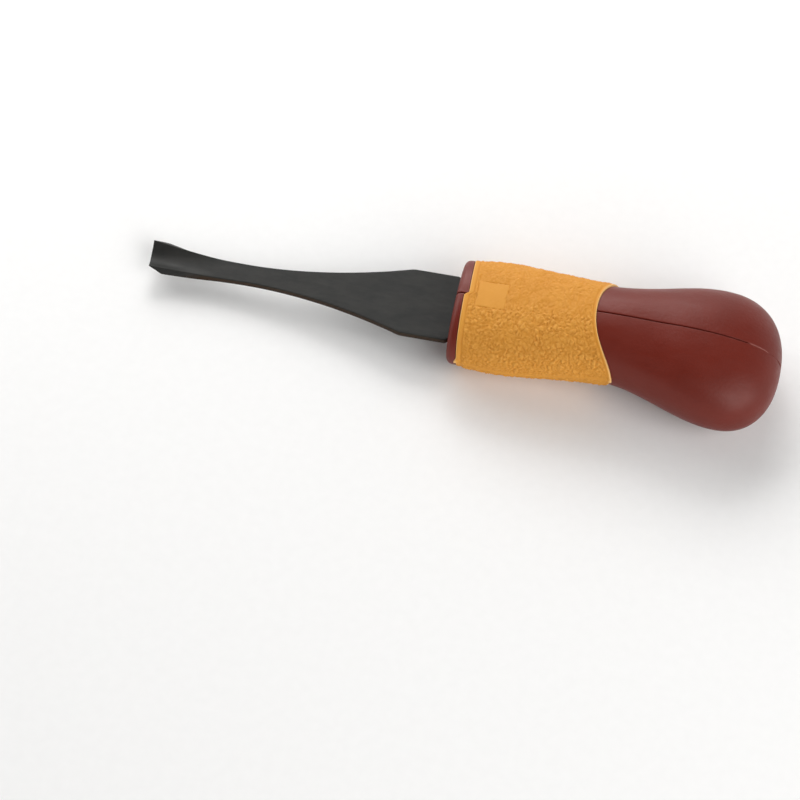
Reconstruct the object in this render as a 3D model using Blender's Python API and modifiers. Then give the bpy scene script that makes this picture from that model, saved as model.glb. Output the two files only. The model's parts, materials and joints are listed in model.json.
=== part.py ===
"""Lino cutter: a palm handle moulded in two halves, a rubber sleeve, and a gouge blade on a spring detent.

World frame: +X towards the cutting edge, +Z up, the tool lying on a table at z = 0, with the origin under
the middle of its box. Every piece is drawn in the tool's own frame, whose X axis is the blade's: x = 0 at
the blade's shoulders, z = 0 at its mid-plane. The empty "tool_at_rest" tips that frame on to the table.
"""

import math

import bmesh
import bpy
from mathutils import Matrix, Vector

MM = 0.001
GAP = 0.3 * MM  # between pieces that touch
OVERSHOOT = 5 * MM  # how far a cutter runs past what it cuts
MERGE = 0.01 * MM  # points closer than this are one

# Blade
THICKNESS = 1.9 * MM
BODY_HALF = 11.0 * MM
BODY_END = 14 * MM  # where the body's sides start to draw in
SHOULDER_CORNER = 1.2 * MM  # how far along the sides the shoulders' corners reach
SHOULDER_DRAW = 0.9 * MM  # how far they come in
SHANK_HALF = 3.1 * MM
SHANK_END = 60 * MM  # where the shank is slimmest
SHANK_POWER = 1.9  # of the curve from the body to the shank
FLARE_POWER = 1.6  # of the curve from the shank to the edge
BLADE_REACH = 88.5 * MM
EDGE_HALF = 4.3 * MM
CHANNEL_START = 68 * MM
CHANNEL_DEPTH = 2.4 * MM
CHANNEL_POWER = 1.3
BEVEL_LENGTH = 4 * MM
EDGE_SHARE = 0.12  # of the thickness that is left at the edge
TANG_LENGTH = 29 * MM
TANG_HALF = 6.0 * MM
TANG_CORNER = 2.0 * MM
HOLE_X = -22.5 * MM
HOLE_RADIUS = 2.5 * MM

# Handle: (x, size) where each profile turns, from the front face to the bulb
FRONT_X = -GAP
REAR_X = -92.7 * MM
POLE_Z = -3.5 * MM
HALF_WIDTH = [(0, 15.7 * MM), (-13 * MM, 16.6 * MM), (-43 * MM, 14.2 * MM), (-76 * MM, 21.2 * MM)]
TOP = [(0, 9.1 * MM), (-46 * MM, 11.7 * MM), (-60 * MM, 11.3 * MM)]
BOTTOM = [(0, -9.6 * MM), (-46 * MM, -10.0 * MM), (-78 * MM, -15.3 * MM)]
SECTION_POWER = 2.2
END_POWER = 2.3
FRONT_ROUND = 1.6 * MM
SEAM_HALF_GAP = 0.15 * MM
WALL = 3.0 * MM
CHAMBER_FRONT = -46 * MM
AROUND = 40  # points round a section

# Sleeve
SLEEVE_FRONT = -2.8 * MM
SLEEVE_REAR = -46.8 * MM  # at the sides
SCOOP = 6.9 * MM  # how far its rear edge is cut forward at the top and underneath
SCOOP_POWER = 1.75
SLEEVE_PROUD = 0.5 * MM
SLEEVE_SEAT = 1.5 * MM

# Socket, spring detent and screws
SOCKET_HALF_WIDTH = 7.5 * MM
SOCKET_WALL = 1.2 * MM
SOCKET_FRONT = -1.0 * MM
SOCKET_REAR = -36 * MM
SPRING_THICKNESS = 0.6 * MM
SPRING_HALF_WIDTH = 3.0 * MM
SPRING_FRONT = -17.5 * MM
SPRING_REAR = -35.5 * MM
BOSS_RADIUS = 1.7 * MM
BOSS_DEPTH = 2.9 * MM
RIVET_X = -32.5 * MM
RIVET_RADIUS = 0.9 * MM
RIVET_HEAD_RADIUS = 1.8 * MM
RIVET_HEAD_HEIGHT = 0.8 * MM
DETENT_LIFT = 2.6 * MM  # room for the leaf above its rest
SCREWS = {
    "handle_screw_front": (-12 * MM, -5.1 * MM),
    "handle_screw_middle": (-41 * MM, 0.5 * MM),
    "handle_screw_rear": (-68 * MM, -2.0 * MM),
}
SCREW_RADIUS = 1.25 * MM
SCREW_HEAD_RADIUS = 2.4 * MM
SCREW_HEAD_DEPTH = 2.0 * MM
SCREW_HEAD_INSET = 7.6 * MM  # of its face below the handle's side
SCREW_END_INSET = 5.0 * MM
SCREW_BOSS_RADIUS = 3.9 * MM
RECESS_LENGTH = 3.2 * MM
RECESS_WIDTH = 0.5 * MM
RECESS_DEPTH = 1.0 * MM

# The two points of the underside that touch the table, as (x, z)
REST_REAR = Vector((-80.5 * MM, -15.12 * MM))
REST_FRONT = Vector((-6.5 * MM, -10.0 * MM))

REACH = 100 * MM  # of the cutters that take away everything on one side of a plane


def new_collection(name):
    found = bpy.data.collections.new(name)
    bpy.context.scene.collection.children.link(found)
    return found


def material(name, color, roughness, metallic=0.0):
    made = bpy.data.materials.new(name)
    made.use_nodes = True
    shader = made.node_tree.nodes["Principled BSDF"]
    shader.inputs["Base Color"].default_value = (*color, 1)
    shader.inputs["Roughness"].default_value = roughness
    shader.inputs["Metallic"].default_value = metallic
    return made


def place(name, mesh, look=None, location=(0, 0, 0)):
    """A piece of the tool, or a cutter when it has no look of its own."""
    made = bpy.data.objects.new(name, mesh)
    made.location = location
    made.parent = at_rest
    if look:
        parts.objects.link(made)
        mesh.materials.append(look)
        mesh.shade_smooth()
        mesh.set_sharp_from_angle(angle=math.radians(35))
    else:
        cutters.objects.link(made)
        made.hide_render = True
        made.display_type = "WIRE"
    return made


def mesh_from(name, work):
    bmesh.ops.recalc_face_normals(work, faces=work.faces)
    mesh = bpy.data.meshes.new(name)
    work.to_mesh(mesh)
    work.free()
    return mesh


def boolean(piece, operation, other):
    cut = piece.modifiers.new(operation.lower() + "_" + other.name, "BOOLEAN")
    cut.operation = operation
    cut.solver = "EXACT"
    cut.object = other


def block(low, high):
    """A box between two corners."""
    work = bmesh.new()
    bmesh.ops.create_cube(work, size=1)
    middle = (Vector(low) + Vector(high)) / 2
    size = Matrix.Diagonal((*(Vector(high) - Vector(low)), 1))
    bmesh.ops.transform(work, verts=work.verts, matrix=Matrix.Translation(middle) @ size)
    return mesh_from("block", work)


def rod(radius, start, finish, axis, segments=24):
    """A cylinder along axis "Y" or "Z", from start to finish on it."""
    work = bmesh.new()
    bmesh.ops.create_cone(
        work, cap_ends=True, segments=segments, radius1=radius, radius2=radius, depth=finish - start
    )
    turn = Matrix.Rotation(math.radians(-90), 4, "X") if axis == "Y" else Matrix.Identity(4)
    slide = Matrix.Translation((0, 0, (start + finish) / 2))
    bmesh.ops.transform(work, verts=work.verts, matrix=turn @ slide)
    return mesh_from("rod", work)


def loft(rings):
    """A closed body through rings of equal length, with a flat cap on the first and the last."""
    work = bmesh.new()
    made = [[work.verts.new(point) for point in ring] for ring in rings]
    for ring, after in zip(made, made[1:]):
        for i in range(len(ring)):
            j = (i + 1) % len(ring)
            work.faces.new((ring[i], ring[j], after[j], after[i]))
    work.faces.new(made[0])
    work.faces.new(made[-1])
    return mesh_from("loft", work)


def ease(t):
    t = min(max(t, 0), 1)
    return t * t * (3 - 2 * t)


def through(turns, x):
    """A smooth profile that is level at each of its turns."""
    value = turns[0][1]
    for (x0, v0), (x1, v1) in zip(turns, turns[1:]):
        if x <= x0:
            value = v0 + (v1 - v0) * ease((x0 - x) / (x0 - x1))
    return value


def rounding(turns, x):
    """1 ahead of the last turn, falling to 0 at the rear pole as a superellipse does."""
    start = turns[-1][0]
    t = min(max((start - x) / (start - REAR_X), 0), 1)
    return (1 - t**END_POWER) ** (1 / END_POWER)


def handle_point(x, angle, outward=0.0):
    """The handle's outer surface at a station and an angle from the left side, moved outward."""
    half = through(HALF_WIDTH, x) * rounding(HALF_WIDTH, x) + outward
    top = POLE_Z + (through(TOP, x) - POLE_Z) * rounding(TOP, x) + outward
    bottom = POLE_Z + (through(BOTTOM, x) - POLE_Z) * rounding(BOTTOM, x) - outward
    c, s = math.cos(angle), math.sin(angle)
    y = half * math.copysign(abs(c) ** (2 / SECTION_POWER), c)
    z = (top - bottom) / 2 * math.copysign(abs(s) ** (2 / SECTION_POWER), s)
    return Vector((x, y, (top + bottom) / 2 + z))


def sleeve_rear(angle):
    return SLEEVE_REAR + SCOOP * abs(math.sin(angle)) ** SCOOP_POWER


def handle_ring(station, outward):
    """One ring of the handle; station gives x at each angle. Its points miss the seam by half a step."""
    angles = [2 * math.pi * (i + 0.5) / AROUND for i in range(AROUND)]
    return [handle_point(station(angle), angle, outward) for angle in angles]


def flat_station(x):
    return lambda angle: x


def between_edges(share):
    """Stations from the sleeve's straight front edge to its scooped rear edge."""
    return lambda angle: SLEEVE_FRONT + (sleeve_rear(angle) - SLEEVE_FRONT) * share


def behind_sleeve(share, finish):
    return lambda angle: sleeve_rear(angle) + (finish - sleeve_rear(angle)) * share


def handle_form():
    """Both halves as one body, with the seat that the sleeve lies in."""
    rings = []
    steps = 4
    for i in range(steps + 1):
        turn = math.radians(90 * i / steps)
        x = FRONT_X - FRONT_ROUND * (1 - math.cos(turn))
        rings.append(handle_ring(flat_station(x), FRONT_ROUND * (math.sin(turn) - 1)))
    rings.append(handle_ring(flat_station(SLEEVE_FRONT), 0))
    steps = 8
    for i in range(steps + 1):
        rings.append(handle_ring(between_edges(i / steps), -SLEEVE_SEAT))
    bulb = HALF_WIDTH[-1][0]
    steps = 9
    for i in range(steps + 1):
        rings.append(handle_ring(behind_sleeve(i / steps, bulb), 0))
    steps = 9
    short_of_pole = 86
    for i in range(1, steps + 1):
        turn = math.radians(short_of_pole * i / steps)
        rings.append(handle_ring(flat_station(bulb + (REAR_X - bulb) * math.sin(turn)), 0))
    return loft(rings)


def sleeve_form():
    """A tube as thick as its seat is deep, plus what stands proud, less the gap under it."""
    steps = 10
    clear = GAP / (SLEEVE_FRONT - SLEEVE_REAR)
    stations = [between_edges(clear + (1 - 2 * clear) * i / steps) for i in range(steps + 1)]
    outer = [handle_ring(station, SLEEVE_PROUD) for station in stations]
    inner = [handle_ring(station, GAP - SLEEVE_SEAT) for station in reversed(stations)]
    work = bmesh.new()
    made = [[work.verts.new(point) for point in ring] for ring in outer + inner]
    for ring, after in zip(made, made[1:] + made[:1]):
        for i in range(AROUND):
            j = (i + 1) % AROUND
            work.faces.new((ring[i], ring[j], after[j], after[i]))
    return mesh_from("sleeve", work)


def chamber_form():
    """The hollow in the bulb: the outer form drawn in by the wall."""
    steps = 10
    rear = REAR_X + 2 * WALL
    rings = []
    for i in range(steps + 1):
        x = CHAMBER_FRONT + (rear - CHAMBER_FRONT) * math.sin(math.radians(90 * i / steps))
        rings.append(handle_ring(flat_station(x), -WALL))
    return loft(rings)


def blade_half_width(x):
    if x < 0:
        corner = min(max((x + TANG_LENGTH) / TANG_CORNER, 0), 1)
        return TANG_HALF - TANG_CORNER * (1 - math.sqrt(1 - (1 - corner) ** 2))
    if x < BODY_END:
        return BODY_HALF - SHOULDER_DRAW * (1 - min(x / SHOULDER_CORNER, 1)) ** 2
    draw_in = (1 - min((x - BODY_END) / (SHANK_END - BODY_END), 1)) ** SHANK_POWER
    flare = max((x - SHANK_END) / (BLADE_REACH - SHANK_END), 0) ** FLARE_POWER
    return SHANK_HALF + (BODY_HALF - SHANK_HALF) * draw_in + (EDGE_HALF - SHANK_HALF) * flare


def blade_point(x, across):
    """The blade's upper face, flat at first and then curled into the gouge's channel; across is -1 to 1."""
    half = blade_half_width(x)
    share = max((x - CHANNEL_START) / (BLADE_REACH - CHANNEL_START), 0)
    depth = CHANNEL_DEPTH * share**CHANNEL_POWER
    if depth < MERGE:
        return Vector((x, half * across, THICKNESS / 2))
    radius = (half**2 + depth**2) / (2 * depth)
    turn = 2 * math.atan(depth / half) * across
    return Vector((x, radius * math.sin(turn), THICKNESS / 2 + radius * (1 - math.cos(turn))))


def blade_stations():
    tang = [-TANG_LENGTH, -TANG_LENGTH + TANG_CORNER / 4, -TANG_LENGTH + TANG_CORNER, -TANG_LENGTH / 2]
    body = [0, SHOULDER_CORNER * 0.4, SHOULDER_CORNER, BODY_END / 2, BODY_END]
    steps = 14
    reach = BLADE_REACH - BEVEL_LENGTH
    drawn = [BODY_END + (reach - BODY_END) * i / steps for i in range(1, steps + 1)]
    return tang, body + drawn + [BLADE_REACH]


def gouge_blade(look):
    """An open sheet given the plate's thickness downwards, which thins to the edge along the bevel."""
    tang, body = blade_stations()
    shoulder = TANG_HALF / blade_half_width(0)
    outer = [-1, *[shoulder * i / 3 for i in range(-3, 4)], 1]
    work = bmesh.new()
    rows = []
    for x in tang:
        rows.append([None, *[work.verts.new(blade_point(x, i / 3)) for i in range(-3, 4)], None])
    for x in body:
        rows.append([work.verts.new(blade_point(x, across)) for across in outer])
    for row, after in zip(rows, rows[1:]):
        for i in range(len(row) - 1):
            corners = (row[i], row[i + 1], after[i + 1], after[i])
            if all(corners):
                work.faces.new(corners)
    for face in work.faces:
        face.normal_update()
        if face.normal.z < 0:
            face.normal_flip()
    mesh = bpy.data.meshes.new("blade")
    work.to_mesh(mesh)
    work.free()
    blade = place("gouge_blade", mesh, look)
    full = blade.vertex_groups.new(name="full_thickness")
    edge_x = BLADE_REACH - BEVEL_LENGTH / 2
    full.add([v.index for v in mesh.vertices if v.co.x < edge_x], 1, "REPLACE")
    plate = blade.modifiers.new("plate", "SOLIDIFY")
    plate.thickness = THICKNESS
    plate.offset = -1
    plate.vertex_group = full.name
    plate.thickness_vertex_group = EDGE_SHARE
    hole = place("tang_hole", rod(HOLE_RADIUS, -OVERSHOOT, OVERSHOOT, "Z", 32), location=(HOLE_X, 0, 0))
    boolean(blade, "DIFFERENCE", hole)


def tang_socket(look):
    """A rectangular tube round the tang, closed at the rear, with holes for the detent and its rivet."""
    room = THICKNESS / 2 + GAP
    skin = room + SOCKET_WALL
    box = block((SOCKET_REAR, -SOCKET_HALF_WIDTH, -skin), (SOCKET_FRONT, SOCKET_HALF_WIDTH, skin))
    socket = place("tang_socket", box, look)
    inner = TANG_HALF + GAP
    rear = SOCKET_REAR + SOCKET_WALL
    bore = place("socket_bore", block((rear, -inner, -room), (OVERSHOOT, inner, room)))
    boolean(socket, "DIFFERENCE", bore)
    for name, x, radius in (
        ("socket_boss_hole", HOLE_X, BOSS_RADIUS + GAP),
        ("socket_rivet_hole", RIVET_X, RIVET_RADIUS + GAP),
    ):
        hole = place(name, rod(radius, 0, OVERSHOOT, "Z"), location=(x, 0, 0))
        boolean(socket, "DIFFERENCE", hole)
    return skin


def detent_spring(look, socket_top):
    """A leaf on top of the socket, with a pressed boss that drops into the tang's hole."""
    low = socket_top + GAP
    high = low + SPRING_THICKNESS
    leaf = block((SPRING_REAR, -SPRING_HALF_WIDTH, low), (SPRING_FRONT, SPRING_HALF_WIDTH, high))
    spring = place("detent_spring", leaf, look)
    work = bmesh.new()
    bmesh.ops.create_uvsphere(work, u_segments=24, v_segments=12, radius=BOSS_RADIUS)
    stretch = Matrix.Diagonal((1, 1, BOSS_DEPTH / BOSS_RADIUS, 1))
    bmesh.ops.transform(work, verts=work.verts, matrix=stretch)
    boss = place("boss", mesh_from("boss", work), location=(HOLE_X, 0, low))
    above = block((HOLE_X - OVERSHOOT, -OVERSHOOT, high), (HOLE_X + OVERSHOOT, OVERSHOOT, high + OVERSHOOT))
    boolean(boss, "DIFFERENCE", place("above_leaf", above))
    boolean(spring, "UNION", boss)
    hole = rod(RIVET_RADIUS + GAP, 0, 2 * OVERSHOOT, "Z")
    boolean(spring, "DIFFERENCE", place("spring_rivet_hole", hole, location=(RIVET_X, 0, 0)))


def spring_rivet(look, socket_top):
    """A turned rivet through the leaf's tail and the socket's roof, with a domed head above."""
    under = THICKNESS / 2 + 2 * GAP
    head = socket_top + SPRING_THICKNESS + 2 * GAP
    profile = [
        (0, head + RIVET_HEAD_HEIGHT),
        (RIVET_HEAD_RADIUS * 2 / 3, head + RIVET_HEAD_HEIGHT * 3 / 4),
        (RIVET_HEAD_RADIUS, head),
        (RIVET_RADIUS, head),
        (RIVET_RADIUS, under),
        (0, under),
    ]
    work = bmesh.new()
    points = [work.verts.new((radius, 0, z)) for radius, z in profile]
    for point, after in zip(points, points[1:]):
        work.edges.new((point, after))
    mesh = bpy.data.meshes.new("rivet")
    work.to_mesh(mesh)
    work.free()
    rivet = place("spring_rivet", mesh, look, location=(RIVET_X, 0, 0))
    turned = rivet.modifiers.new("turned", "SCREW")
    turned.steps = turned.render_steps = 20
    turned.use_merge_vertices = True
    turned.merge_threshold = MERGE


def side_of(x, z):
    """The handle's half-width at a station and height."""
    top = POLE_Z + (through(TOP, x) - POLE_Z) * rounding(TOP, x)
    bottom = POLE_Z + (through(BOTTOM, x) - POLE_Z) * rounding(BOTTOM, x)
    rise = abs(2 * z - top - bottom) / (top - bottom)
    return through(HALF_WIDTH, x) * (1 - rise**SECTION_POWER) ** (1 / SECTION_POWER)


def handle_screws(look):
    """Self-tapping screws from the right half into the left, and a stepped cutter for each one's hole."""
    holes = []
    along, across = RECESS_LENGTH / 2, RECESS_WIDTH / 2
    for name, (x, z) in SCREWS.items():
        side = side_of(x, z)
        head = -side + SCREW_HEAD_INSET
        tip = side - SCREW_END_INSET
        screw = place(name, rod(SCREW_HEAD_RADIUS, head, head + SCREW_HEAD_DEPTH, "Y"), look, (x, 0, z))
        shank_start = head + SCREW_HEAD_DEPTH / 2
        shank = place(name + "_shank", rod(SCREW_RADIUS, shank_start, tip, "Y", 16), None, (x, 0, z))
        boolean(screw, "UNION", shank)
        for turn in (45, 135):
            slot = block((-along, head - RECESS_DEPTH, -across), (along, head + RECESS_DEPTH, across))
            recess = place(f"{name}_recess_{turn}", slot, None, (x, 0, z))
            recess.rotation_euler.y = math.radians(turn)
            boolean(screw, "DIFFERENCE", recess)
        well_floor = head + SCREW_HEAD_DEPTH + GAP
        well = rod(SCREW_HEAD_RADIUS + GAP, -side - OVERSHOOT, well_floor, "Y")
        pilot = rod(SCREW_RADIUS + GAP, head, tip + GAP, "Y", 16)
        holes.append(place(name + "_well", well, None, (x, 0, z)))
        holes.append(place(name + "_pilot", pilot, None, (x, 0, z)))
    return holes


def detent_pocket(socket_top):
    """Room above the socket for the leaf to lift by the boss's engagement."""
    high = socket_top + SPRING_THICKNESS + DETENT_LIFT
    width = SPRING_HALF_WIDTH + GAP
    return block((SPRING_REAR - GAP, -width, 0), (SPRING_FRONT + GAP, width, high))


def handle_halves(looks, socket_top, screw_holes, table):
    """The form cut at the seam, then pocketed for the socket, the detent, the screws and the chamber."""
    pocket_half = SOCKET_HALF_WIDTH + GAP
    pocket_low = (SOCKET_REAR - GAP, -pocket_half, -socket_top - GAP)
    pocket = place("socket_pocket", block(pocket_low, (SOCKET_FRONT + GAP, pocket_half, socket_top + GAP)))
    mouth_half = TANG_HALF + GAP
    mouth_low = (SOCKET_FRONT - GAP, -mouth_half, -THICKNESS / 2 - GAP)
    mouth = place("slot_mouth", block(mouth_low, (OVERSHOOT, mouth_half, THICKNESS / 2 + GAP)))
    detent = place("detent_pocket", detent_pocket(socket_top))
    chamber = place("bulb_chamber", chamber_form())
    x, z = SCREWS["handle_screw_rear"]
    post = place("rear_boss", rod(SCREW_BOSS_RADIUS, -REACH, REACH, "Y"), None, (x, 0, z))
    boolean(chamber, "DIFFERENCE", post)
    for name, side in (("handle_left_half", 1), ("handle_right_half", -1)):
        half = place(name, handle_form(), looks[name])
        inner, outer = sorted((-side * REACH, side * SEAM_HALF_GAP))
        beyond = place(name + "_beyond_seam", block((-REACH, inner, -REACH), (REACH, outer, REACH)))
        for cutter in (beyond, chamber, pocket, mouth, detent, *screw_holes, table):
            boolean(half, "DIFFERENCE", cutter)


def settle_on_table(pieces):
    """Moves the empty so that the box of all the pieces stands on the origin by its bottom centre."""
    bpy.context.view_layer.update()
    graph = bpy.context.evaluated_depsgraph_get()
    points = []
    for piece in pieces:
        shown = piece.evaluated_get(graph)
        points += [shown.matrix_world @ v.co for v in shown.to_mesh().vertices]
        shown.to_mesh_clear()
    low = [min(point[i] for point in points) for i in range(3)]
    high = [max(point[i] for point in points) for i in range(3)]
    at_rest.location += Vector((-(low[0] + high[0]) / 2, 0, -low[2]))


for old in list(bpy.data.objects):
    bpy.data.objects.remove(old)
parts = new_collection("lino_cutter")
cutters = new_collection("cutters")
lean = REST_FRONT - REST_REAR
at_rest = bpy.data.objects.new("tool_at_rest", None)
parts.objects.link(at_rest)
at_rest.rotation_euler.y = math.atan2(lean.y, lean.x)

burgundy = {
    "handle_left_half": material("burgundy_plastic_left", (0.17, 0.026, 0.02), 0.42),
    "handle_right_half": material("burgundy_plastic_right", (0.18, 0.028, 0.022), 0.42),
}
ochre = material("ochre_rubber", (0.62, 0.30, 0.07), 0.7)
black_steel = material("black_oxide_steel", (0.035, 0.035, 0.036), 0.45, 0.7)
zinc_steel = material("zinc_steel", (0.55, 0.56, 0.58), 0.35, 1.0)
spring_steel = material("spring_steel", (0.32, 0.33, 0.36), 0.3, 1.0)
rivet_brass = material("rivet_brass", (0.6, 0.42, 0.16), 0.35, 1.0)
screw_steel = material("screw_steel", (0.42, 0.42, 0.43), 0.35, 1.0)

table_slab = block((-REACH, -REACH, -REACH), (REACH, REACH, 0))
table_top = place("table", table_slab, location=(REST_REAR.x, 0, REST_REAR.y))
table_top.rotation_euler.y = -at_rest.rotation_euler.y

gouge_blade(black_steel)
socket_roof = tang_socket(zinc_steel)
detent_spring(spring_steel, socket_roof)
spring_rivet(rivet_brass, socket_roof)
handle_halves(burgundy, socket_roof, handle_screws(screw_steel), table_top)
sleeve = place("grip_sleeve", sleeve_form(), ochre)
boolean(sleeve, "DIFFERENCE", table_top)
settle_on_table([piece for piece in parts.objects if piece.type == "MESH"])
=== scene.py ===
"""Looks of the lino cutter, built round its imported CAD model.

Every piece is drawn in the tool's own frame, whose X axis is the blade's: x = 0 at the blade's shoulders,
z = 0 at the blade's mid-plane, +Y to the left. TOOL takes that frame to the CAD's, where the tool lies on
a table. The handle's form and the sleeve's edges follow the same formulas as the CAD's.
"""

import json
import math

import bmesh
import bpy
import numpy as np
from mathutils import Matrix, Vector, noise


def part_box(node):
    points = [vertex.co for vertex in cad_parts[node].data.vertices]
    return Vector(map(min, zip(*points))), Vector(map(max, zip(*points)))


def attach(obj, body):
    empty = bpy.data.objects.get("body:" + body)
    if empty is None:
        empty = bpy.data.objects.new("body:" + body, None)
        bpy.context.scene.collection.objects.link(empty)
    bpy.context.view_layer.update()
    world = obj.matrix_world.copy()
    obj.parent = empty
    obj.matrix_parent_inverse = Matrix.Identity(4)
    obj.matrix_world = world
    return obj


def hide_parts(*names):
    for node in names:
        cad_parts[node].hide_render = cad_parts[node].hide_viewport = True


MM = 0.001
TINY = 1e-15
GAP = 0.3 * MM  # between pieces, as in the CAD
OVERSHOOT = 5 * MM  # of cutters, past what they cut
AROUND = 48  # points round a turned body
POLE_RADIUS = 0.002 * MM  # stands for 0 on one

# Blade
THICKNESS = 1.9 * MM
BODY_HALF = 11.0 * MM
BODY_END = 14 * MM
SHOULDER_CORNER = 1.2 * MM
SHOULDER_DRAW = 0.9 * MM
SHOULDER_STEP = 0.12 * MM  # behind the shoulders the blade is down to the tang's width
SHANK_HALF = 3.1 * MM
SHANK_END = 60 * MM
SHANK_POWER = 1.9
FLARE_POWER = 1.6
BLADE_REACH = 88.5 * MM
EDGE_HALF = 4.3 * MM
CHANNEL_START = 68 * MM
CHANNEL_DEPTH = 2.4 * MM
CHANNEL_POWER = 1.3
BEVEL_LENGTH = 4 * MM
EDGE_SHARE = 0.12
EDGE_BOW = 0.38 * MM  # how far the middle of the cutting edge leads its corners
EDGE_SKEW = 0.35 * MM  # how far the right corner leads, and the left one trails
EDGE_ROUND = 0.22 * MM
THIN_ROUND = 0.4  # the most of the thickness that the rounding takes, where the steel is thin
LEAST_CHANNEL = 0.01 * MM  # a shallower channel counts as flat
TANG_LENGTH = 29 * MM
TANG_HALF = 6.0 * MM
TANG_CORNER = 2.0 * MM
HOLE_X = -22.5 * MM
HOLE_RADIUS = 2.5 * MM
HOLE_CHAMFER = 0.25 * MM
FACE_STEPS = 27  # points across a face of the blade
ROUND_STEPS = 5  # and round each of its edges
TANG_TURNS = (0.08, math.pi / 2, 9)  # radians from and to, and rings, round the tang's corners
SHOULDER_SHARES = (0.04, 1, 6)  # of SHOULDER_CORNER
TANG_RINGS, BODY_RINGS, BEVEL_RINGS = 14, 96, 9

# Handle: (x, size) where each profile turns, from the front face to the bulb
FRONT_X = -GAP
REAR_X = -92.7 * MM
POLE_Z = -3.5 * MM
HALF_WIDTH = [(0, 15.7 * MM), (-13 * MM, 16.6 * MM), (-43 * MM, 14.2 * MM), (-76 * MM, 21.2 * MM)]
TOP = [(0, 9.1 * MM), (-46 * MM, 11.7 * MM), (-60 * MM, 11.3 * MM)]
BOTTOM = [(0, -9.6 * MM), (-46 * MM, -10.0 * MM), (-78 * MM, -15.3 * MM)]
SECTION_POWER = 2.2
END_POWER = 2.3
FRONT_ROUND = 1.6 * MM
LIP_PROUD = 0.45 * MM  # the lip ahead of the sleeve is level with it
WALL = 3.0 * MM
CHAMBER_FRONT = -46 * MM
CHAMBER_AROUND, CHAMBER_RINGS = 64, 22
CHAMBER_TURN = 0.02  # radians, which keeps its corners off the seam
MOUTH_CHAMFER = 0.35 * MM  # at the blade's slot
CORE_LEAD = 4 * MM  # normals point away from a core this far ahead of each ring
CORE_TURNS = -20 * MM  # or as far behind it, ahead of this station
CORE_SHARE = 0.3  # the core's width, as a share of the handle's

# Rings of a half, from the front: the rounded lip, the seat of the sleeve, the back and the bulb's end
LIP_RINGS = 9
SEAT_RINGS = 14
BACK_RINGS = 44
END_RINGS = 44
END_TURN = 89.4  # degrees; the last ring stops just short of the pole
HALF_STEPS = 72  # points round the outside of a half
BAND_STEPS = 12  # and on each of the narrow bands beside the seam
BAND = 1.2 * MM

# Seam between the halves
SEAM_HALF_GAP = 0.15 * MM
SEAM_ROUND = 0.22 * MM
SEAM_JAG = 0.07 * MM
JAG_LENGTH = 0.8 * MM
FINE_JAG_LENGTH = 0.3 * MM
JAG_ROWS = (7, 5)  # the rows of the noise that the two are read from
SEAM_CLOSING = 0.85  # share of the gap that goes where the joint is closed
LEAST_ROUND = 0.03 * MM  # of the halves' edges there
SEAM_CLOSES = (-81.5 * MM, -83 * MM)  # where the open joint closes
SEAM_OPENS = (-90.8 * MM, -91.8 * MM)  # where it opens again, round the pole
SEAM_RIDGE = 0.12 * MM  # height of the fine ridge between the two
SEAM_RIDGE_WIDTH = 0.25 * MM
SEAM_RIDGE_END = -88 * MM
RIDGE_FADE = 0.8 * MM  # over which its painted highlight fades out at both ends
RIDGE_HALF = 0.05 * MM
RIDGE_SOFT = 0.12 * MM
RIDGE_FROM = (10 * MM, 12 * MM)  # heights above the table at which the painted highlight sets in

# Sleeve: its front edge as (degrees round from the left side, x), skewed, with a step over the seam
SLEEVE_FRONT_EDGE = [(0, -3.2), (89, -2.4), (91.5, -3.6), (180, -2.6), (270, -2.8), (360, -3.2)]
SLEEVE_REAR = -46.8 * MM
SLEEVE_REAR_SKEW = 1.9 * MM  # how much further forward the rear edge is on the right side
SCOOP = 5.95 * MM
SCOOP_POWER = 1.75
SLEEVE_PROUD = 0.5 * MM
SLEEVE_SEAT = 1.5 * MM
SLEEVE_CLEAR = 0.12 * MM
SLEEVE_PLAY = 0.2 * MM  # between the sleeve's inside and its seat
SLEEVE_RINGS, SLEEVE_AROUND = 204, 432
SLEEVE_EDGE_STEPS = 6
SLEEVE_INNER_RINGS = 10
SLEEVE_EDGE_ROUND = 0.4 * MM
FRONT_RIM = 1.5 * MM
REAR_RIM = 0.9 * MM
SIDE_RIM = 0.5 * MM
FLANK_Y = 10 * MM  # the side flash runs only where the sleeve is wider than this
SOFT = 0.3 * MM  # over which the rims and the panel blend into the grain
PARTING_DROP = 1.8 * MM  # how far the side flash sags below the sleeve's mid-height, halfway along
RIM_HEIGHT = 0.12 * MM
RIM_GROOVE = 0.16 * MM  # depth of the groove that sets off the rims at both ends
RIM_GROOVE_WIDTH = 0.25 * MM
FLASH_HEIGHT = 0.3 * MM
FLASH_WIDTH = 0.35 * MM
GRAIN_SIZE = 1.3 * MM
GRAIN_HEIGHT = 0.52 * MM
GRAIN_SEED = 4  # fixes where the noise vectors that warp the grain are read from
TOP_WEAR = 0.42  # share of the grain that is rubbed away on top, right of the middle
WORN_FROM = 5 * MM  # the wear sets in at this Y, and is full at WORN_TO
WORN_TO = -1 * MM
WORN_BAND = 4 * MM  # height over which it sets in above the sleeve's mid-height
SWELL_SIZE = 2.2 * MM  # of the soft swells that are left there
SWELL_HEIGHT = 0.3 * MM
SMOOTH_MARK = 0.42  # grain value of the smooth rims and panel
EDGE_MARK = 1.6  # grain value that marks the painted highlight on the sleeve's edges and little corners
EDGE_HIGHLIGHT_GAIN = 1.6  # how fast the painted highlight sets in across an edge's rounding
INNER_MARK = 0.5  # grain value of the sleeve's inside
EAR_HEIGHT = 0.5 * MM
EAR_LENGTH = 0.5 * MM
EAR_SPREAD = (0.6 * MM, 0.8 * MM)  # round the sleeve, and along it
PANEL_X = (-14.4 * MM, -6.2 * MM)
PANEL_Y = (-4.7 * MM, 3.7 * MM)
PANEL_HEIGHT = 0.12 * MM
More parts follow.
